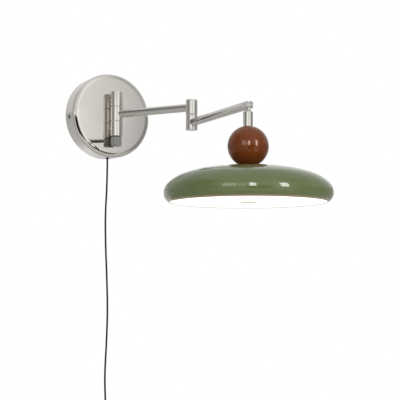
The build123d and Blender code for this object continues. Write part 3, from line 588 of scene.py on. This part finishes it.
def finish_opal(colours):
    """Opal sheet that glows evenly."""
    material, shader = new_finish("opal_white", (0.9, 0.89, 0.86), 0.0, 0.35)
    shader.inputs["Emission Color"].default_value = (*colours.light, 1.0)
    shader.inputs["Emission Strength"].default_value = 1.3
    return material


def finish_cap_painted_glow(colours):
    """Satin brass with a painted glow: a faint emission in the diffuser's light colour stands for the
    diffuser's light spilling over the cap.
    """
    material = finish_metal("cap_brass", tuple(colours.brass), 0.4)
    shader = material.node_tree.nodes["Principled BSDF"]
    # Painted glow: the cap is no lamp, and this emission paints the diffuser's light spilling over it.
    shader.inputs["Emission Color"].default_value = (*colours.light, 1.0)
    shader.inputs["Emission Strength"].default_value = 0.25
    return material


def all_finishes(colours):
    """Every finish by the name of its slot."""
    return {
        "polished_nickel": finish_nickel(colours),
        "steel": finish_metal("steel", (0.52, 0.52, 0.51), 0.3),
        "dark_steel": finish_metal("dark_steel", (0.26, 0.26, 0.255), 0.3),
        "nylon": finish_plastic("nylon", (0.45, 0.44, 0.42), 0.4),
        "black_rubber": finish_plastic("black_rubber", (0.02, 0.02, 0.02), 0.6),
        "cord_black": finish_plastic("cord_black", tuple(colours.cord), 0.42, 2600.0, 0.00001, 0.12),
        "tie_grey": finish_plastic("tie_grey", (0.09, 0.09, 0.09), 0.55),
        "black_plastic": finish_plastic("black_plastic", (0.018, 0.018, 0.019), 0.4, 1200.0, 0.00003),
        "pin_metal": finish_metal("pin_metal", (0.72, 0.71, 0.68), 0.2),
        "knob_metal": finish_metal("knob_metal", (0.40, 0.39, 0.37), 0.22),
        "brown_lacquer": finish_ball(colours),
        "sage_paint": finish_sage(colours),
        "aluminium": finish_metal("aluminium", (0.80, 0.80, 0.79), 0.35),
        "board_white": finish_plastic("board_white", (0.80, 0.80, 0.78), 0.5),
        "opal_white": finish_opal(colours),
        "cap_brass": finish_cap_painted_glow(colours),
    }


FINISHES = {}
METAL_SLOTS = ("polished_nickel", "steel", "dark_steel", "knob_metal", "pin_metal", "aluminium", "cap_brass")


class LAMP_OT_finishes(bpy.types.Operator):
    """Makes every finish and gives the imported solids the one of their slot"""

    bl_idname = "lamp.finishes"
    bl_label = "Finishes"

    def execute(self, context):
        FINISHES.update(all_finishes(context.scene.lamp_colours))
        for node, piece in frame["nodes"].items():
            piece.data.materials.clear()
            piece.data.materials.append(FINISHES[SLOT_OF[node]])
        return {"FINISHED"}


CORD_ROUTE = np.array(
    [
        (0.0, -0.0127, -0.0604),
        (0.0, -0.0127, -0.096),
        (-0.0023, -0.0118, -0.141),
        (-0.0009, -0.0110, -0.187),
        (0.0018, -0.0104, -0.233),
        (0.0032, -0.0107, -0.280),
        (0.0012, -0.0113, -0.327),
        (-0.0017, -0.0125, -0.370),
        (0.0, -0.0127, -0.408),
        (0.0, -0.0127, -0.432),
    ]
)
COIL_PITCH = 0.00305
COIL_RADIUS = 0.0205
COIL_LAYERS = 4
COIL_TURNS = 4
POINTS_PER_HALF = 8


def coil_half_turns():
    """Radius and climb of each half turn: the spiral closes and opens by half a pitch, layer by layer."""
    half_turns = []
    radius = COIL_RADIUS
    for layer in range(COIL_LAYERS):
        inward = -1 if layer % 2 == 0 else 1
        last = layer == COIL_LAYERS - 1
        for _ in range(2 * COIL_TURNS - last):
            half_turns.append((radius, 0.0))
            radius += inward * COIL_PITCH / 2
        if not last:
            half_turns.append((radius, COIL_PITCH))
            radius -= inward * COIL_PITCH / 2
    return half_turns


def coil_points(start, cord):
    """Control points of the coil: eight for each half turn, outside its circle by the spline's own cut.

    A spline of order 3 through points a step s apart on a circle of radius R runs at R cos(s / 2).
    """
    at = start - np.array([0.0, 0.0, cord])
    side = -1.0
    step = np.pi / POINTS_PER_HALF
    angle = (np.arange(POINTS_PER_HALF) + 0.5) * step
    rows = []
    for radius, climb in coil_half_turns():
        reach = radius / np.cos(step / 2)
        rows.append(
            np.stack(
                [
                    at[0] + side * (radius - reach * np.cos(angle)),
                    at[1] - climb * (1 - np.cos(angle)) / 2,
                    at[2] + side * reach * np.sin(angle),
                ],
                axis=1,
            )
        )
        at = at + np.array([side * 2 * radius, -climb, 0.0])
        side = -side
    return np.concatenate(rows), at


class LAMP_OT_cord(bpy.types.Operator):
    """Lays the cord from its bush down to the tied coil and the plug"""

    bl_idname = "lamp.cord"
    bl_label = "Cord"

    def execute(self, context):
        cord_d = context.scene.lamp_sizes.cord
        loops, end = coil_points(CORD_ROUTE[-1], cord_d)
        tail_low = node_box("plug_strain_relief")[1][2]
        tail = np.array([end, (end[0], end[1], (end[2] + tail_low) / 2), (end[0], end[1], tail_low)])
        points = np.concatenate([CORD_ROUTE, loops, tail])
        curve = bpy.data.curves.new("cord", "CURVE")
        curve.dimensions = "3D"
        curve.bevel_depth = cord_d / 2
        curve.bevel_resolution = 3
        curve.resolution_u = 6
        curve.use_fill_caps = True
        spline = curve.splines.new("NURBS")
        spline.points.add(len(points) - 1)
        spline.points.foreach_set("co", np.column_stack([points, np.ones(len(points))]).ravel())
        spline.order_u = 3
        spline.use_endpoint_u = True
        cord = bpy.data.objects.new("cord", curve)
        context.scene.collection.objects.link(cord)
        place(cord, "wall_base", "cord_black", "power_cord", "cord_coil")
        return {"FINISHED"}


class LAMP_OT_wall_mount(bpy.types.Operator):
    """Turns the canopy, the fixed knuckles and the lead inside the canopy"""

    bl_idname = "lamp.wall_mount"
    bl_label = "Wall mount"

    def execute(self, context):
        sizes = context.scene.lamp_sizes
        low, high = node_box("canopy")
        radius, depth = high[0], -low[1]
        wall = sizes.canopy_wall
        share = sizes.canopy_round / sizes.canopy_edge
        front, back = depth / share, (depth - wall) / share
        corners = [(0.0, back), (radius - wall, back), (radius - wall, 0.0)]
        corners += [(radius, 0.0), (radius, front), (0.0, front)]
        edges = [sizes.canopy_edge - wall, sizes.small_edge, sizes.small_edge, sizes.canopy_edge]
        profile = squeezed(rounded_profile(corners, edges, 24), share)
        profile = domed(profile, sizes.canopy_flat, radius, sizes.canopy_dome)
        radii = profile[0][:, 0]
        first_outside = np.argmax(radii > radius - wall / 2)
        inside = np.arange(len(radii)) < first_outside
        outwards = (0, -1, 0)
        canopy = turned("canopy_shell", profile, (0, 0, 0), outwards, 2 * sizes.turns, inside=inside)
        place(canopy, "wall_base", "polished_nickel", "canopy")
        hinge = JOINT_AT["wall_swing"]
        for node, bore in (("upper_knuckle", None), ("lower_knuckle", half_width("switch_body"))):
            piece = upright(node + "_turned", node, sizes.small_edge, hinge, sizes.turns, bore)
            place(piece, "wall_base", "polished_nickel", node)
        low, high = node_box("supply_lead")
        lead = solid_of_turning(
            "inner_lead",
            sizes.cord / 2,
            low[2],
            high[2],
            sizes.small_edge / 2,
            ((low[0] + high[0]) / 2, (low[1] + high[1]) / 2, 0),
            (0, 0, 1),
            sizes.turns // 4,
        )
        place(lead, "wall_base", "cord_black", "supply_lead")
        return {"FINISHED"}


class LAMP_OT_arms(bpy.types.Operator):
    """Turns the hub, the elbow and the two arm tubes"""

    bl_idname = "lamp.arms"
    bl_label = "Arms"

    def execute(self, context):
        sizes = context.scene.lamp_sizes
        hinge, elbow, tilt = JOINT_AT["wall_swing"], JOINT_AT["elbow_swing"], JOINT_AT["shade_tilt"]
        for node, body, centre, bore, edge in (
            ("arm1_hub", "first_arm", hinge, None, sizes.small_edge),
            ("elbow_upper", "first_arm", elbow, None, sizes.elbow_top_edge),
            ("elbow_lower", "second_arm", elbow, half_width("elbow_cap"), sizes.elbow_foot_edge),
        ):
            piece = upright(node + "_turned", node, edge, centre, sizes.turns, bore)
            place(piece, body, "polished_nickel", node)
        for node, body, start, end, cut in (
            ("arm1_tube", "first_arm", hinge, elbow, sizes.tube_start),
            ("arm2_tube", "second_arm", elbow, tilt, sizes.fork),
        ):
            low, high = node_box(node)
            height = (low[2] + high[2]) / 2
            start = np.array([start[0], start[1], height])
            end = np.array([end[0], end[1], height])
            length = np.linalg.norm(end - start)
            piece = solid_of_turning(
                node + "_turned",
                (high[2] - low[2]) / 2,
                sizes.tube_start,
                length - cut,
                sizes.small_edge,
                start,
                end - start,
                sizes.turns,
            )
            place(piece, body, "polished_nickel", node)
        return {"FINISHED"}


# Where the arcs of the shade meet, as shares of its radius and of its depth
SHADE_KNOTS = ((0.0, 0.0), (0.5, 0.0557), (0.8077, 0.239), (0.9567, 0.4826), (1.0, 0.7657))


class LAMP_OT_head(bpy.types.Operator):
    """Turns the stem, the ball, the shade, the diffuser and its cap"""

    bl_idname = "lamp.head"
    bl_label = "Lamp head"

    def execute(self, context):
        sizes = context.scene.lamp_sizes
        tilt = JOINT_AT["shade_tilt"]
        up = (0, 0, 1)
        stem = upright("stem_turned", "stem_tube", sizes.stem_edge, tilt, sizes.turns)
        place(stem, "lamp_head", "polished_nickel", "stem_tube")

        foot = node_box("ball")[0][2]
        radius = half_width("ball")
        bore = half_width("lamp_pipe") + sizes.pipe_gap
        middle = foot + np.sqrt(radius**2 - bore**2)
        angle = np.linspace(-np.pi / 2, np.pi / 2, 97)
        ways = np.stack([np.abs(np.cos(angle)), np.sin(angle)], axis=1)
        ways[[0, -1], 0] = 0.0
        ball = turned("ball_turned", (ways * radius, ways), (tilt[0], tilt[1], middle), up, sizes.turns)
        place(ball, "lamp_head", "brown_lacquer", "ball")

        low, high = node_box("shade")
        radius, depth, top = half_width("shade"), high[2] - low[2], high[2]
        mouth = radius - sizes.lip
        knots = [(across * radius, -down * depth) for across, down in SHADE_KNOTS]
        knots.append((mouth, -depth))
        outer, facing = tangent_arcs(knots, (1.0, 0.0))
        tip = np.linspace(0.0, np.pi, 9)[1:-1]
        out, along = facing[-1], np.array([facing[-1, 1], -facing[-1, 0]])
        lip_way = np.cos(tip)[:, None] * out + np.sin(tip)[:, None] * along
        lip = outer[-1] - out * sizes.sheet / 2 + lip_way * sizes.sheet / 2
        inner = (outer - facing * sizes.sheet)[::-1]
        inner[-1, 0] = 0.0
        profile = (np.concatenate([outer, lip, inner]), np.concatenate([facing, lip_way, -facing[::-1]]))
        # Tan band at the mouth, partly the unpainted rim and partly painted glow of the diffuser's light on
        # the lip.
        to_mouth = np.linalg.norm(outer - outer[-1], axis=1)
        bare_and_glow_ramp = AT_MOUTH * np.clip(1 - to_mouth / sizes.bare_and_glow_width, 0.0, 1.0)
        over_lip = np.linspace(AT_MOUTH, 1 - AT_MOUTH, len(lip))
        inside = np.concatenate([bare_and_glow_ramp, over_lip, np.ones(len(inner))])
        shade = turned("shade_spun", profile, (tilt[0], tilt[1], top), up, 2 * sizes.turns, inside=inside)
        place(shade, "lamp_head", "sage_paint", "shade")

        diffuser = upright("diffuser_sheet", "diffuser", sizes.disc_edge, tilt, 2 * sizes.turns)
        place(diffuser, "lamp_head", "opal_white", "diffuser")
        cap = upright("cap_turned", "diffuser_cap", sizes.disc_edge, tilt, sizes.turns)
        place(cap, "lamp_head", "cap_brass", "diffuser_cap")
        return {"FINISHED"}


# Stage


def window_panel(name, azimuth, width, brightness, mirrors):
    """Soft panel that faces the lamp head and lights every piece but the mirrors.

    Its place is given by the angle to the right of the camera and above the horizon, in degrees, as
    seen from the head, and its size by the angles that it covers.
    """
    head = np.array([JOINT_AT["shade_tilt"][0], JOINT_AT["shade_tilt"][1], -0.1])
    eye = np.array(bpy.context.scene.lamp_stage.eye)
    to_eye = (eye - head) * (1, 1, 0)
    to_eye /= np.linalg.norm(to_eye)
    right = np.array([-to_eye[1], to_eye[0], 0.0])
    turn, rise = np.radians(azimuth), np.radians(WINDOW_RISE)
    way = np.cos(rise) * (np.cos(turn) * to_eye + np.sin(turn) * right) + np.array([0, 0, np.sin(rise)])
    light = bpy.data.lights.new(name, "AREA")
    light.shape = "RECTANGLE"
    light.size = 2 * WINDOW_AWAY * np.tan(np.radians(width) / 2)
    light.size_y = 2 * WINDOW_AWAY * np.tan(np.radians(WINDOW_HEIGHT) / 2)
    light.energy = brightness * np.pi * light.size * light.size_y
    lamp = bpy.data.objects.new(name, light)
    side = np.cross((0, 0, 1), way)
    side /= np.linalg.norm(side)
    over = np.cross(way, side)
    basis = np.eye(4)
    basis[:3, :3] = np.stack([side, over, way], axis=1)
    basis[:3, 3] = head + way * WINDOW_AWAY
    lamp.matrix_world = Matrix(basis.tolist())
    lamp.visible_camera = False
    lamp.light_linking.receiver_collection = mirrors
    bpy.context.scene.collection.objects.link(lamp)


# Name, azimuth and width in degrees, and share of the full brightness of each window panel
WINDOWS = (
    ("window_left", -25, 18, 0.24),
    ("window_middle", -7.5, 11, 0.10),
    ("window_near", 5.7, 8.6, 1.0),
    ("window_right", 48.5, 11, 1.0),
)
WINDOW_RISE = 13
WINDOW_HEIGHT = 25
WINDOW_AWAY = 2.6

# Grey levels of the studio by azimuth in degrees, in rings above, at and below the horizon
ABOVE = (
    (-180, 1.25),
    (-165, 0.80),
    (-125, 0.70),
    (-95, 0.60),
    (-80, 0.24),
    (-56, 0.20),
    (-48, 0.70),
    (0, 0.70),
    (20, 0.85),
    (33, 1.10),
    (44, 1.10),
    (60, 0.86),
    (66, 0.70),
    (75, 0.50),
    (150, 0.80),
    (180, 1.25),
)
LEVEL = (
    (-180, 1.30),
    (-165, 0.72),
    (-125, 0.55),
    (-98, 0.60),
    (-85, 0.40),
    (-68, 0.26),
    (-52, 0.32),
    (-42, 0.48),
    (-28, 0.80),
    (-17, 0.95),
    (-13, 1.55),
    (-3, 1.55),
    (2, 0.85),
    (14, 0.80),
    (28, 0.95),
    (36, 1.20),
    (44, 1.40),
    (49, 1.15),
    (54, 1.00),
    (60, 0.83),
    (66, 0.62),
    (71, 0.50),
    (78, 0.32),
    (88, 0.28),
    (108, 0.40),
    (150, 0.48),
    (165, 0.65),
    (180, 1.30),
)
BELOW = (
    (-180, 0.60),
    (-150, 0.90),
    (-134, 0.60),
    (-120, 0.54),
    (-100, 0.52),
    (-75, 0.42),
    (-45, 0.40),
    (-25, 0.50),
    (-13, 0.75),
    (-4, 0.75),
    (1, 0.02),
    (28, 0.02),
    (36, 0.85),
    (44, 1.30),
    (49, 1.12),
    (54, 0.98),
    (60, 0.82),
    (66, 0.61),
    (71, 0.50),
    (78, 0.32),
    (95, 0.32),
    (150, 0.45),
    (180, 0.60),
)
OVERHEAD = (0.8, 0.8, 0.8, 1.0)
# Heights of a direction between which each ring blends into the next one
TO_LEVEL = (0.06, 0.15)
TO_ABOVE = (0.168, 0.20)
TO_OVERHEAD = (0.72, 0.86)


def studio_world(stage):
    """White to the camera, a studio to polished surfaces and an even fill to the rest.

    The studio has a ring of grey levels by azimuth at the horizon, one above, one below and a bright
    spot overhead.  They blend by the height z of a direction, from the ring below up to the spot.
    """
    world = bpy.data.worlds.new("studio")
    world.use_nodes = True
    nodes, links = world.node_tree.nodes, world.node_tree.links
    head = np.array([JOINT_AT["shade_tilt"][0], JOINT_AT["shade_tilt"][1], 0])
    to_eye = (np.array(stage.eye) - head) * (1, 1, 0)
    to_eye /= np.linalg.norm(to_eye)
    right = (-to_eye[1], to_eye[0], 0.0)
    coordinate = nodes.new("ShaderNodeTexCoord")

    def along(way):
        """Dot product of the direction with a way."""
        dot = nodes.new("ShaderNodeVectorMath")
        dot.operation = "DOT_PRODUCT"
        dot.inputs[1].default_value = way
        links.new(coordinate.outputs["Generated"], dot.inputs[0])
        return dot.outputs["Value"]

    def share_of(value, low, high):
        """Smooth step from 0 at low to 1 at high."""
        share = nodes.new("ShaderNodeMapRange")
        share.interpolation_type = "SMOOTHSTEP"
        share.inputs["From Min"].default_value = low
        share.inputs["From Max"].default_value = high
        links.new(value, share.inputs["Value"])
        return share.outputs["Result"]

    def blend(factor, first, second):
        """Mix of two colours, each a socket or a constant."""
        mix = nodes.new("ShaderNodeMix")
        mix.data_type = "RGBA"
        for socket, value in (("Factor", factor), ("A", first), ("B", second)):
            if isinstance(value, tuple):
                mix.inputs[socket].default_value = value
            else:
                links.new(value, mix.inputs[socket])
        return mix.outputs["Result"]

    azimuth = nodes.new("ShaderNodeMath")
    azimuth.operation = "ARCTAN2"
    links.new(along(right), azimuth.inputs[0])
    links.new(along(tuple(to_eye)), azimuth.inputs[1])
    round_share = nodes.new("ShaderNodeMapRange")
    round_share.inputs["From Min"].default_value = -np.pi
    round_share.inputs["From Max"].default_value = np.pi
    links.new(azimuth.outputs[0], round_share.inputs["Value"])
    rings = []
    for levels in (BELOW, LEVEL, ABOVE):
        ramp = ring_of(nodes, levels)
        links.new(round_share.outputs["Result"], ramp.inputs["Fac"])
        rings.append(ramp.outputs["Color"])
    height = along((0.0, 0.0, 1.0))
    studio = blend(share_of(height, *TO_LEVEL), rings[0], rings[1])
    studio = blend(share_of(height, *TO_ABOVE), studio, rings[2])
    studio = blend(share_of(height, *TO_OVERHEAD), studio, OVERHEAD)
    ray = nodes.new("ShaderNodeLightPath")
    fill = (stage.fill, stage.fill, stage.fill * 0.99, 1.0)
    shine = blend(ray.outputs["Is Glossy Ray"], fill, studio)
    seen = nodes.new("ShaderNodeMath")
    seen.operation = "MAXIMUM"
    links.new(ray.outputs["Is Camera Ray"], seen.inputs[0])
    links.new(ray.outputs["Is Transmission Ray"], seen.inputs[1])
    links.new(blend(seen.outputs[0], shine, (1.0, 1.0, 1.0, 1.0)), nodes["Background"].inputs["Color"])
    return world


def ring_of(nodes, levels):
    """Colour ramp of grey levels all round, whose places run from -180 to 180 degrees."""
    ramp = nodes.new("ShaderNodeValToRGB")
    elements = ramp.color_ramp.elements
    while len(elements) < len(levels):
        elements.new(0.5)
    for element, (spot, level) in zip(elements, levels):
        element.position = (spot + 180.0) / 360.0
        element.color = (level, level, level, 1.0)
    return ramp


def floor_disc(level, radius):
    """Pale round floor, that keeps the shadow in its middle and is white to the camera at its rim."""
    angle = np.linspace(0.0, 2 * np.pi, 96, endpoint=False)
    centre = (CAD_LOW + CAD_HIGH) / 2
    rim = np.stack([centre[0] + radius * np.cos(angle), centre[1] + radius * np.sin(angle)], axis=1)
    points = np.column_stack([rim, np.full(len(rim), level)])
    mesh = bpy.data.meshes.new("floor")
    mesh.from_pydata(points.tolist(), [], [list(range(len(points)))])
    floor = bpy.data.objects.new("floor", mesh)
    bpy.context.scene.collection.objects.link(floor)
    material, shader = new_finish("pale_floor", (0.82, 0.82, 0.81), 0.0, 0.8)
    nodes, links = material.node_tree.nodes, material.node_tree.links
    coordinate = nodes.new("ShaderNodeTexCoord")
    mapping = nodes.new("ShaderNodeMapping")
    mapping.inputs["Location"].default_value = (-centre[0] / radius, -centre[1] / radius, -level / radius)
    mapping.inputs["Scale"].default_value = (1 / radius,) * 3
    gradient = nodes.new("ShaderNodeTexGradient")
    gradient.gradient_type = "SPHERICAL"
    fade = nodes.new("ShaderNodeMapRange")
    fade.inputs["From Min"].default_value = 0.75
    fade.inputs["From Max"].default_value = 0.1
    ray = nodes.new("ShaderNodeLightPath")
    share = nodes.new("ShaderNodeMath")
    share.operation = "MULTIPLY"
    white = nodes.new("ShaderNodeEmission")
    blend = nodes.new("ShaderNodeMixShader")
    links.new(coordinate.outputs["Object"], mapping.inputs["Vector"])
    links.new(mapping.outputs["Vector"], gradient.inputs["Vector"])
    links.new(gradient.outputs["Fac"], fade.inputs["Value"])
    links.new(fade.outputs["Result"], share.inputs[0])
    links.new(ray.outputs["Is Camera Ray"], share.inputs[1])
    links.new(share.outputs[0], blend.inputs["Fac"])
    links.new(shader.outputs["BSDF"], blend.inputs[1])
    links.new(white.outputs["Emission"], blend.inputs[2])
    links.new(blend.outputs["Shader"], nodes["Material Output"].inputs["Surface"])
    mesh.materials.append(material)


class LAMP_OT_stage(bpy.types.Operator):
    """Sets the camera, the studio, the window panels and the floor"""

    bl_idname = "lamp.stage"
    bl_label = "Stage"

    def execute(self, context):
        scene = context.scene
        stage = scene.lamp_stage
        scene.view_settings.view_transform = "Standard"
        camera = bpy.data.cameras.new("camera")
        camera.sensor_width = 36.0
        camera.lens = stage.lens
        camera.clip_start, camera.clip_end = 0.01, 50.0
        eye = bpy.data.objects.new("camera", camera)
        eye.location = stage.eye
        eye.rotation_euler = stage.turn
        scene.collection.objects.link(eye)
        scene.camera = eye
        scene.world = studio_world(stage)
        floor_disc(CAD_LOW[2] - stage.floor_drop, stage.floor_radius)
        return {"FINISHED"}


class LAMP_OT_panels(bpy.types.Operator):
    """Hangs the soft window panels, which light every piece but the metal ones"""

    bl_idname = "lamp.panels"
    bl_label = "Window panels"

    def execute(self, context):
        stage = context.scene.lamp_stage
        mirrors = bpy.data.collections.new("mirrors")
        metals = {FINISHES[slot] for slot in METAL_SLOTS}
        for piece in context.scene.objects:
            if piece.type == "MESH" and metals.intersection(piece.data.materials):
                mirrors.objects.link(piece)
        for entry in mirrors.collection_objects:
            entry.light_linking.link_state = "EXCLUDE"
        for name, azimuth, width, share in WINDOWS:
            window_panel(name, azimuth, width, stage.window * share, mirrors)
        return {"FINISHED"}


class LAMP_PT_panel(bpy.types.Panel):
    """Lists the steps and the values that can be changed"""

    bl_idname = "LAMP_PT_panel"
    bl_label = "Wall lamp"
    bl_space_type = "VIEW_3D"
    bl_region_type = "UI"
    bl_category = "Wall lamp"

    def draw(self, context):
        for group in ("lamp_sizes", "lamp_colours", "lamp_stage"):
            settings = getattr(context.scene, group)
            box = self.layout.box()
            for name in settings.__annotations__:
                box.prop(settings, name)
        for step in STEPS:
            self.layout.operator(step.bl_idname)


STEPS = (
    LAMP_OT_stage,
    LAMP_OT_finishes,
    LAMP_OT_cord,
    LAMP_OT_wall_mount,
    LAMP_OT_arms,
    LAMP_OT_head,
    LAMP_OT_panels,
)
GROUPS = {"lamp_sizes": LampSizes, "lamp_colours": LampColours, "lamp_stage": LampStage}


def register():
    """Registers the settings, the steps and the panel."""
    for cls in (*GROUPS.values(), *STEPS, LAMP_PT_panel):
        bpy.utils.register_class(cls)
    for name, cls in GROUPS.items():
        setattr(bpy.types.Scene, name, PointerProperty(type=cls))


def unregister():
    """Takes back what register added."""
    for name in GROUPS:
        delattr(bpy.types.Scene, name)
    for cls in reversed((*GROUPS.values(), *STEPS, LAMP_PT_panel)):
        bpy.utils.unregister_class(cls)


def main():
    """Runs the steps in order."""
    register()
    bpy.ops.lamp.stage()
    bpy.ops.lamp.finishes()
    bpy.ops.lamp.cord()
    bpy.ops.lamp.wall_mount()
    bpy.ops.lamp.arms()
    bpy.ops.lamp.head()
    bpy.ops.lamp.panels()


if __name__ == "__main__":
    main()
